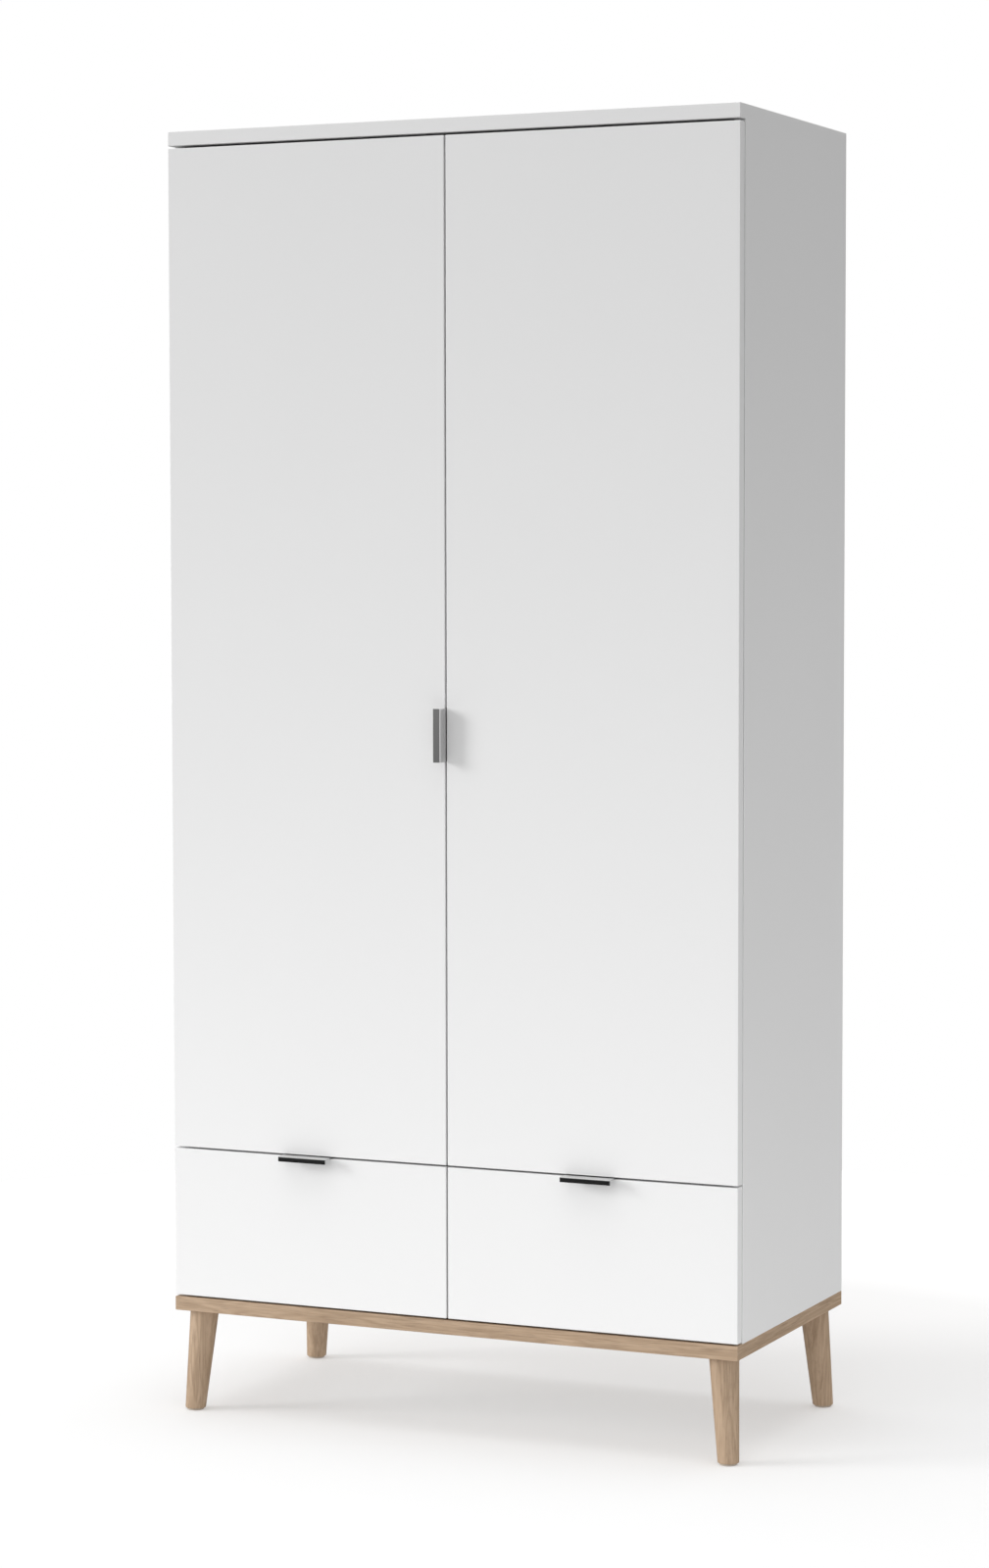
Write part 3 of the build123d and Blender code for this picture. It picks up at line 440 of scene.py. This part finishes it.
def one_sided_board(name, foil_direction):
    """Thin fibreboard whose white foil faces the given way."""
    made, tree, shader = finish_material(name)
    coordinates = place(tree, "TexCoord")
    facing = place(tree, "VectorMath", operation="DOT_PRODUCT")
    facing.inputs[1].default_value = foil_direction
    join(tree, coordinates.outputs["Normal"], facing.inputs[0])
    bare = spread(tree, facing.outputs["Value"], 0.6, 0.5, 0.0, 1.0)
    skin = use_group(tree, sprayed_skin, FOIL)
    fibres = place(tree, "TexNoise", {"Scale": 260.0, "Detail": 8.0, "Roughness": 0.75, "Distortion": 1.2})
    join(tree, coordinates.outputs["Object"], fibres.inputs["Vector"])
    fibre_tone = spread(tree, fibres.outputs["Fac"], 0.3, 0.7, 0.0, 1.0)
    brown = mix_colours(tree, fibre_tone, DARK_FIBRE, LIGHT_FIBRE)
    join(tree, mix_colours(tree, bare, skin.outputs["Colour"], brown), shader.inputs["Base Color"])
    join(tree, spread(tree, bare, 0.0, 1.0, 0.5, 0.85), shader.inputs["Roughness"])
    bump_from(tree, shader, fibres.outputs["Fac"], FIBRE_DEPTH)
    return made


back_board = one_sided_board("back_fibreboard", (0, -1, 0))
drawer_bottom_board = one_sided_board("drawer_bottom_fibreboard", (0, 0, 1))
print("finishes", back_board.name, drawer_bottom_board.name)

# %% [markdown]
# ## Oak
#
# The base frame and the legs are solid oak under a matt lacquer. Three things make oak look like oak:
# broad bands of darker late wood, thin open pores that run with the grain, and a slow change of tone
# from board to board. All of them stretch along the grain, so one group draws them along X, and each
# piece turns its own coordinates so that its grain runs along its length. A different starting point
# gives each piece its own figure.

# %% Group: oak grain
ALONG_BANDS, ALONG_PORES, ALONG_STREAKS = 0.07, 0.022, 0.03
RINGS_IN_A_BAND = 34.0
PORE_BROWN = (0.20, 0.13, 0.08)

oak_grain, given, result = start_group(
    "oak_grain",
    [
        ("Vector", "vector", None),
        ("Light", "colour", (0.528, 0.381, 0.258, 1.0)),
        ("Dark", "colour", (0.334, 0.224, 0.137, 1.0)),
        ("Band Size", "number", 0.012),
    ],
    [("Colour", "colour"), ("Roughness", "number"), ("Height", "number")],
)


def stretched(tree, vector, stretch):
    """Coordinates squeezed along the grain, so that what they drive is drawn out along it."""
    made = place(tree, "VectorMath", operation="MULTIPLY")
    join(tree, vector, made.inputs[0])
    made.inputs[1].default_value = stretch
    return made.outputs[0]


drawn_out = stretched(oak_grain, given.outputs["Vector"], (ALONG_BANDS, 1.0, 1.0))
bands = place(oak_grain, "TexNoise", {"Detail": 2.0, "Roughness": 0.45, "Distortion": 0.35})
join(oak_grain, drawn_out, bands.inputs["Vector"])
join(oak_grain, maths(oak_grain, "DIVIDE", 1.0, given.outputs["Band Size"]), bands.inputs["Scale"])
ring_phase = maths(oak_grain, "MULTIPLY", bands.outputs["Fac"], RINGS_IN_A_BAND)
rings = spread(oak_grain, maths(oak_grain, "SINE", ring_phase), -1.0, 1.0, 0.0, 1.0)
pores = place(oak_grain, "TexNoise", {"Scale": 1100.0, "Detail": 3.0, "Roughness": 0.6})
pore_lines = stretched(oak_grain, given.outputs["Vector"], (ALONG_PORES, 1.0, 1.0))
join(oak_grain, pore_lines, pores.inputs["Vector"])
pore_mask = spread(oak_grain, pores.outputs["Fac"], 0.56, 0.66, 0.0, 1.0)
streaks = place(oak_grain, "TexNoise", {"Scale": 240.0, "Detail": 4.0, "Roughness": 0.65})
streak_lines = stretched(oak_grain, given.outputs["Vector"], (ALONG_STREAKS, 1.0, 1.0))
join(oak_grain, streak_lines, streaks.inputs["Vector"])
slow = place(oak_grain, "TexNoise", {"Scale": 7.0, "Detail": 1.0})
join(oak_grain, given.outputs["Vector"], slow.inputs["Vector"])
late_wood = maths(oak_grain, "MULTIPLY", rings, 0.42)
streaky = maths(oak_grain, "ADD", late_wood, spread(oak_grain, streaks.outputs["Fac"], 0.35, 0.65, 0.0, 0.38))
shaded = maths(oak_grain, "ADD", streaky, spread(oak_grain, slow.outputs["Fac"], 0.3, 0.7, -0.1, 0.15))
wood = mix_colours(oak_grain, shaded, given.outputs["Light"], given.outputs["Dark"])
pored = mix_colours(oak_grain, maths(oak_grain, "MULTIPLY", pore_mask, 0.45), wood, PORE_BROWN)
join(oak_grain, pored, result.inputs["Colour"])
join(oak_grain, spread(oak_grain, rings, 0.0, 1.0, 0.46, 0.56), result.inputs["Roughness"])
join(oak_grain, maths(oak_grain, "SUBTRACT", 1.0, pore_mask), result.inputs["Height"])
print("group", oak_grain.name)

# %% Finish: oak, one for each piece
GRAIN_TURNS = {"X": (0.0, 0.0, 0.0), "Y": (0.0, 0.0, -math.pi / 2), "Z": (0.0, math.pi / 2, 0.0)}
RUBBED_OAK = (0.60, 0.45, 0.31)
OAK_RUB = {"Radius": 0.0015, "Break Up": 90.0, "Amount": 0.4}
OAK_COAT, OAK_COAT_ROUGHNESS = 0.1, 0.4
PORE_DEPTH = 0.00012


def oak(name, along, start):
    """Oak whose grain runs along X, Y or Z, with its figure taken from a board that starts elsewhere."""
    made, tree, shader = finish_material(name)
    turned = place(tree, "Mapping", {"Rotation": GRAIN_TURNS[along], "Location": start})
    join(tree, place(tree, "TexCoord").outputs["Object"], turned.inputs["Vector"])
    grain = use_group(tree, oak_grain)
    join(tree, turned.outputs[0], grain.inputs["Vector"])
    rub = use_group(tree, edge_rub, OAK_RUB).outputs["Mask"]
    join(tree, mix_colours(tree, rub, grain.outputs["Colour"], RUBBED_OAK), shader.inputs["Base Color"])
    join(tree, grain.outputs["Roughness"], shader.inputs["Roughness"])
    shader.inputs["Coat Weight"].default_value = OAK_COAT
    shader.inputs["Coat Roughness"].default_value = OAK_COAT_ROUGHNESS
    bump_from(tree, shader, grain.outputs["Height"], PORE_DEPTH)
    return made


OAK_PIECES = {
    "base_front_rail": ("X", (0.0, 0.0, 0.0)),
    "base_back_rail": ("X", (0.7, 0.3, 0.1)),
    "base_left_rail": ("Y", (0.2, 0.9, 0.4)),
    "base_right_rail": ("Y", (0.5, 0.6, 0.8)),
    "front_left_leg": ("Z", (0.1, 0.4, 0.2)),
    "front_right_leg": ("Z", (0.9, 0.1, 0.6)),
    "back_left_leg": ("Z", (0.4, 0.7, 0.9)),
    "back_right_leg": ("Z", (0.6, 0.2, 0.3)),
}
oak_finishes = {piece: oak("oak_" + piece, *how) for piece, how in OAK_PIECES.items()}
print("oak pieces", len(oak_finishes))

# %% [markdown]
# ## Metals
#
# The handles are bent from strip with a fine brushed finish along their length. Hinges, brackets and
# screws are pressed steel with a thin plating. Brushing is many hair-thin scratches side by side, so
# the group stretches a noise a hundred times along one direction. Plating has no direction, only a
# slight cloudiness.

# %% Group: brushed lines
brushed_lines, given, result = start_group(
    "brushed_lines",
    [("Vector", "vector", None), ("Roughness", "number", 0.25), ("Depth", "number", 0.1)],
    [("Tone", "number"), ("Roughness", "number"), ("Height", "number")],
)
hair = place(brushed_lines, "TexNoise", {"Scale": 5200.0, "Detail": 3.0, "Roughness": 0.7})
drawn_out = stretched(brushed_lines, given.outputs["Vector"], (0.008, 1.0, 1.0))
join(brushed_lines, drawn_out, hair.inputs["Vector"])
cloud = place(brushed_lines, "TexNoise", {"Scale": 55.0, "Detail": 4.0})
join(brushed_lines, given.outputs["Vector"], cloud.inputs["Vector"])
uneven, streaked = [
    maths(brushed_lines, "MULTIPLY", maths(brushed_lines, "SUBTRACT", noise, 0.5), given.outputs["Depth"])
    for noise in (cloud.outputs["Fac"], hair.outputs["Fac"])
]
total = maths(brushed_lines, "ADD", uneven, streaked)
brushed_roughness = maths(brushed_lines, "ADD", given.outputs["Roughness"], total)
join(brushed_lines, brushed_roughness, result.inputs["Roughness"])
join(brushed_lines, maths(brushed_lines, "ADD", 1.0, total), result.inputs["Tone"])
join(brushed_lines, hair.outputs["Fac"], result.inputs["Height"])
print("group", brushed_lines.name)

# %% Finish: metals
METAL_RUB = {"Radius": 0.0005, "Break Up": 200.0, "Amount": 0.6}
BRIGHTER_WHERE_RUBBED = 1.25


def metal(name, colour, roughness, depth, along="X", lines=0.000004):
    """Bare or plated metal, brushed along X, Y or Z."""
    made, tree, shader = finish_material(name)
    turned = place(tree, "Mapping", {"Rotation": GRAIN_TURNS[along]})
    join(tree, place(tree, "TexCoord").outputs["Object"], turned.inputs["Vector"])
    brushed = use_group(tree, brushed_lines, {"Roughness": roughness, "Depth": depth})
    join(tree, turned.outputs[0], brushed.inputs["Vector"])
    toned = place(tree, "VectorMath", operation="SCALE")
    toned.inputs[0].default_value = colour
    join(tree, brushed.outputs["Tone"], toned.inputs["Scale"])
    rub = use_group(tree, edge_rub, METAL_RUB).outputs["Mask"]
    bright = tuple(min(1.0, channel * BRIGHTER_WHERE_RUBBED) for channel in colour)
    join(tree, mix_colours(tree, rub, toned.outputs[0], bright), shader.inputs["Base Color"])
    join(tree, brushed.outputs["Roughness"], shader.inputs["Roughness"])
    shader.inputs["Metallic"].default_value = 1.0
    bump_from(tree, shader, brushed.outputs["Height"], lines)
    return made


HANDLE_METAL = (0.60, 0.60, 0.60)
upright_handle = metal("handle_brushed_upright", HANDLE_METAL, 0.16, 0.06, "Z")
level_handle = metal("handle_brushed_level", HANDLE_METAL, 0.13, 0.06, "X")
finishes["nickel_steel"] = metal("nickel_steel", (0.68, 0.66, 0.62), 0.24, 0.10, "Y", 0.000001)
finishes["zinc_steel"] = metal("zinc_steel", (0.62, 0.63, 0.65), 0.34, 0.16, "X", 0.000002)
rail_chrome = metal("clothes_rail_plating", (0.72, 0.72, 0.72), 0.14, 0.05, "X", 0.0000005)
print("metals", upright_handle.name, level_handle.name, "nickel_steel", "zinc_steel")

# %% [markdown]
# ## Plastics and enamel
#
# The rollers, the strip between the back panels and the glides are moulded plastic. Mould walls are
# spark eroded, which prints a fine matt texture on the part. The drawer runners are steel under baked
# white enamel, which is smoother. Both are made with the sprayed skin group, at other sizes.

# %% Finish: plastics and enamel
finishes["white_plastic"] = coated_board(
    "white_plastic", (0.82, 0.82, 0.80), 0.42, 0.0006, 0.00001, rub_colour=(0.9, 0.9, 0.9)
)
finishes["glide_plastic"] = coated_board(
    "glide_plastic", (0.50, 0.44, 0.37), 0.65, 0.0007, 0.00004, rub_colour=(0.6, 0.54, 0.46)
)
finishes["runner_enamel"] = coated_board(
    "runner_enamel", (0.82, 0.82, 0.79), 0.30, 0.0016, 0.00001, coat=0.2, rub_colour=(0.5, 0.5, 0.5)
)
print("finishes", sorted(finishes))

# %% [markdown]
# ## Screws
#
# In the CAD a screw is a peg with a wide end, which is all it takes to fill a hole. A real pan-head
# screw has a domed head, a cross for the driver and a thread. One screw could be modelled and copied to
# its places by hand, but the CAD already knows where they all are. So each CAD screw is measured first,
# which gives its place, direction and size, and then a finished screw is turned to the same size, like
# a part on a lathe.

# %% Measure the CAD screws
WELD = 0.000001
RIM_SHARE = 0.99  # points this far out, as a share of the head's radius, are on its rim


def separate_shells(node_name):
    """The pieces of a CAD part that don't touch each other, each as a list of its points."""
    welded = bmesh.new()
    welded.from_mesh(nodes[node_name].data)
    bmesh.ops.remove_doubles(welded, verts=welded.verts, dist=WELD)
    shells = []
    seen = set()
    for first in welded.verts:
        if first in seen:
            continue
        seen.add(first)
        shell, to_visit = [], [first]
        while to_visit:
            point = to_visit.pop()
            shell.append(point.co.copy())
            neighbours = [edge.other_vert(point) for edge in point.link_edges]
            fresh = [other for other in neighbours if other not in seen]
            seen.update(fresh)
            to_visit.extend(fresh)
        shells.append(shell)
    welded.free()
    return shells


def corners(points):
    """The lowest and highest corner of some points."""
    return [Vector([pick(point[axis] for point in points) for axis in range(3)]) for pick in (min, max)]


def measure_screw(points):
    """Reads a screw's place under the head, the way out of the hole, its length and its radii."""
    low, high = corners(points)
    size, centre = high - low, (low + high) / 2
    axis = max(range(3), key=lambda index: size[index])

    def from_centre_line(point):
        away = point - centre
        away[axis] = 0.0
        return away.length

    head_radius = max(from_centre_line(point) for point in points)
    rim = [point[axis] for point in points if from_centre_line(point) > RIM_SHARE * head_radius]
    points_up = sum(rim) / len(rim) > centre[axis]
    under_head = min(rim) if points_up else max(rim)
    tip = low[axis] if points_up else high[axis]
    outward = Vector((0.0, 0.0, 0.0))
    outward[axis] = 1.0 if points_up else -1.0
    place_under_head = centre.copy()
    place_under_head[axis] = under_head
    shank = max(from_centre_line(point) for point in points if abs(point[axis] - tip) < WELD)
    length = abs(under_head - tip)
    return place_under_head, outward, length, shank, head_radius, size[axis] - length


screw_sets = [name for name in nodes if name.endswith("screws")]
measured = {name: [measure_screw(shell) for shell in separate_shells(name)] for name in screw_sets}
print("measured", sum(len(screws) for screws in measured.values()), "screws in", len(measured), "sets")

# %% Turn a shape on a lathe
LATHE_STEPS = 20
SHARP_ANGLE = math.radians(38)


def ring(mesh, radius, height):
    """A ring of points about Z."""
    angles = [2 * math.pi * step / LATHE_STEPS for step in range(LATHE_STEPS)]
    return [mesh.verts.new((radius * math.cos(angle), radius * math.sin(angle), height)) for angle in angles]


def wall_between(mesh, lower, upper):
    """Joins two loops with the same number of points by a band of faces."""
    for index, point in enumerate(lower):
        following = (index + 1) % len(lower)
        mesh.faces.new((point, lower[following], upper[following], upper[index]))


def turned(mesh, profile):
    """Sweeps a profile of (radius, height) pairs about Z. Returns its first and last ring."""
    rings = [ring(mesh, radius, height) for radius, height in profile]
    for lower, upper in zip(rings, rings[1:]):
        wall_between(mesh, lower, upper)
    return rings[0], rings[-1]


def fill_between(mesh, *loops):
    """Fills the flat area inside the first loop and outside the others."""
    edges = []
    for loop in loops:
        for index, point in enumerate(loop):
            pair = (point, loop[(index + 1) % len(loop)])
            edges.append(mesh.edges.get(pair) or mesh.edges.new(pair))
    bmesh.ops.triangle_fill(mesh, use_beauty=True, use_dissolve=False, edges=edges)


def cross_loop(mesh, arm, half_width, height):
    """The twelve corners of a cross."""
    quarter = [(arm, -half_width), (arm, half_width), (half_width, half_width)]
    spots = []
    for turn in range(4):
        cosine, sine = [(1, 0), (0, 1), (-1, 0), (0, -1)][turn]
        spots += [(x * cosine - y * sine, x * sine + y * cosine) for x, y in quarter]
    return [mesh.verts.new((x, y, height)) for x, y in spots]


def finished_piece(name, mesh, finish, body):
    """Turns a bmesh into a piece with its finish and the body that it rides on."""
    bmesh.ops.recalc_face_normals(mesh, faces=mesh.faces)
    for face in mesh.faces:
        face.smooth = True
    for edge in mesh.edges:
        edge.smooth = edge.is_manifold and edge.calc_face_angle() < SHARP_ANGLE
    data = bpy.data.meshes.new(name)
    mesh.to_mesh(data)
    mesh.free()
    data.materials.append(finish)
    piece = bpy.data.objects.new(name, data)
    bpy.context.scene.collection.objects.link(piece)
    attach(piece, body)
    return piece


print("lathe ready,", LATHE_STEPS, "steps to a turn")

# %% Draw a pan-head screw
THREAD_PITCH = 0.9  # of the shank's radius
THREAD_ROOT = 0.76
THREAD_CREST = 0.99
CREST_AT, ROOT_AT = 0.35, 0.7  # along one ridge
TIP_LENGTH = 1.6
TIP_RADIUS = 0.15
CROSS_ARM = 0.50  # of the head's radius
CROSS_HALF_WIDTH = 0.13
CROSS_TAPER = 0.7
CROSS_DEPTH = 0.75  # of the head's height
HEAD_PROFILE = [(1.0, 0.0), (1.0, 0.30), (0.97, 0.52), (0.88, 0.74), (0.74, 0.91), (0.62, 1.0)]
CROSS_TURN = 0.7  # from one screw to the next, because no two are driven to the same angle


def add_screw(mesh, place_under_head, outward, length, shank, head_radius, head_height, spin):
    """Adds one screw to a mesh. Its head stands on the place, and its tip points against outward."""
    old_points = set(mesh.verts)
    tip_start = -length + TIP_LENGTH * shank
    ridges = max(1, int(-tip_start / (THREAD_PITCH * shank)))
    pitch = -tip_start / ridges
    profile = [(TIP_RADIUS * shank, -length), (THREAD_ROOT * shank, tip_start)]
    for ridge in range(ridges):
        height = tip_start + ridge * pitch
        profile.append((THREAD_CREST * shank, height + CREST_AT * pitch))
        profile.append((THREAD_ROOT * shank, height + ROOT_AT * pitch))
    profile.append((THREAD_ROOT * shank, 0.0))
    profile += [(radius * head_radius, height * head_height) for radius, height in HEAD_PROFILE]
    tip, head_ring = turned(mesh, profile)
    mesh.faces.new(tip)
    arm, half_width = CROSS_ARM * head_radius, CROSS_HALF_WIDTH * head_radius
    mouth = cross_loop(mesh, arm, half_width, head_height)
    depth = head_height * (1 - CROSS_DEPTH)
    floor = cross_loop(mesh, arm * CROSS_TAPER, half_width * CROSS_TAPER, depth)
    wall_between(mesh, mouth, floor)
    fill_between(mesh, head_ring, mouth)
    fill_between(mesh, floor)
    turn = outward.to_track_quat("Z", "Y").to_matrix().to_4x4() @ Matrix.Rotation(spin, 4, "Z")
    new_points = [point for point in mesh.verts if point not in old_points]
    bmesh.ops.transform(mesh, matrix=Matrix.Translation(place_under_head) @ turn, verts=new_points)


SCREW_BODIES = {
    "carcass_screws": "carcass",
    "left_door_screws": "left_door_leaf",
    "right_door_screws": "right_door_leaf",
    "left_drawer_screws": "left_drawer",
    "right_drawer_screws": "right_drawer",
}
slot_of = {entry["node"]: entry["material_slot"] for entry in record["subparts"]}
for node_name, body in SCREW_BODIES.items():
    screws = bmesh.new()
    for number, sizes in enumerate(measured[node_name]):
        add_screw(screws, *sizes, spin=CROSS_TURN * number)
    slot = slot_of[node_name]
    name = node_name.replace("screws", "cross_head_screws")
    drawn = finished_piece(name, screws, finishes[slot], body)
    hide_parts(node_name)
    print(drawn.name, len(measured[node_name]), "screws,", len(drawn.data.polygons), "faces")

# %% [markdown]
# ## The hinges' adjusting screws
#
# Under each of the two holes in a hinge arm sits a screw: one moves the door sideways and the other in
# and out. The holes are at fixed distances from the arm's rear end, so the CAD arm's corners give the
# places.

# %% Adjusting screws in the hinge arms
HOLES_FROM_REAR = (0.012, 0.038)
BELOW_THE_FACE = 0.0004
ADJUSTER = {"length": 0.00275, "shank": 0.0020, "head_radius": 0.0023, "head_height": 0.0012}

adjusters = bmesh.new()
for arm_number, shell in enumerate(separate_shells("hinge_arms")):
    low, high = corners(shell)
    on_the_right = low.x > 0
    face_x = low.x if on_the_right else high.x
    outward = Vector((-1.0, 0.0, 0.0)) if on_the_right else Vector((1.0, 0.0, 0.0))
    for hole_number, from_rear in enumerate(HOLES_FROM_REAR):
        hole = Vector((face_x, high.y - from_rear, (low.z + high.z) / 2))
        seat = hole - outward * (BELOW_THE_FACE + ADJUSTER["head_height"])
        add_screw(adjusters, seat, outward, **ADJUSTER, spin=CROSS_TURN * (2 * arm_number + hole_number))
hinge_slot = slot_of["hinge_arms"]
drawn = finished_piece("hinge_adjusting_screws", adjusters, finishes[hinge_slot], "carcass")
print(drawn.name, len(drawn.data.polygons), "faces")

# %% [markdown]
# ## Rivets on the roller axles
#
# A roller is kept on its axle by a riveted head. The head of a track's axle faces the drawer, and the
# head of a slide's axle faces the wall of the cabinet. Each roller's own corners give the place, and a
# short dome is turned there on the lathe.

# %% Rivet heads
RIVET_PROFILE = [(0.0030, 0.0), (0.0030, 0.00025), (0.0026, 0.00052), (0.0018, 0.00068), (0.0008, 0.00074)]
RIVET_BODIES = {
    "left_track_rollers": ("carcass", 1),
    "right_track_rollers": ("carcass", 1),
    "left_slide_rollers": ("left_drawer", -1),
    "right_slide_rollers": ("right_drawer", -1),
}
for rollers, (body, towards_drawer) in RIVET_BODIES.items():
    low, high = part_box(rollers)
    drawer_middle = (low[0] + high[0]) / 2
    rivets = bmesh.new()
    for shell in separate_shells(rollers):
        low, high = corners(shell)
        into_drawer = 1.0 if low.x < drawer_middle else -1.0
        outward = Vector((into_drawer * towards_drawer, 0.0, 0.0))
        face_x = high.x if outward.x > 0 else low.x
        centre = Vector((face_x, (low.y + high.y) / 2, (low.z + high.z) / 2))
        old_points = set(rivets.verts)
        foot, crown = turned(rivets, RIVET_PROFILE)
        rivets.faces.new(foot)
        rivets.faces.new(crown)
        turn = outward.to_track_quat("Z", "Y").to_matrix().to_4x4()
        new_points = [point for point in rivets.verts if point not in old_points]
        bmesh.ops.transform(rivets, matrix=Matrix.Translation(centre) @ turn, verts=new_points)
    name = rollers.replace("rollers", "roller_rivets")
    drawn = finished_piece(name, rivets, finishes["zinc_steel"], body)
    print(drawn.name, len(drawn.data.polygons), "faces")

# %% [markdown]
# ## Dressing the parts
#
# Each part of the frame knows which finish it takes, because the record lists a material slot for it.
# Oak, handles, the clothes rail and the thin boards have a finish of their own, which depends on how
# the part lies.

# %% Give every part its finish
own_finish = {
    **oak_finishes,
    "door_handle": upright_handle,
    "left_drawer_handle": level_handle,
    "right_drawer_handle": level_handle,
    "clothes_rail": rail_chrome,
    "left_back_panel": back_board,
    "right_back_panel": back_board,
    "left_drawer_bottom": drawer_bottom_board,
    "right_drawer_bottom": drawer_bottom_board,
}
for name, part in nodes.items():
    part.data.materials.clear()
    part.data.materials.append(own_finish.get(name) or finishes[slot_of[name]])
print("dressed", len(nodes), "parts")
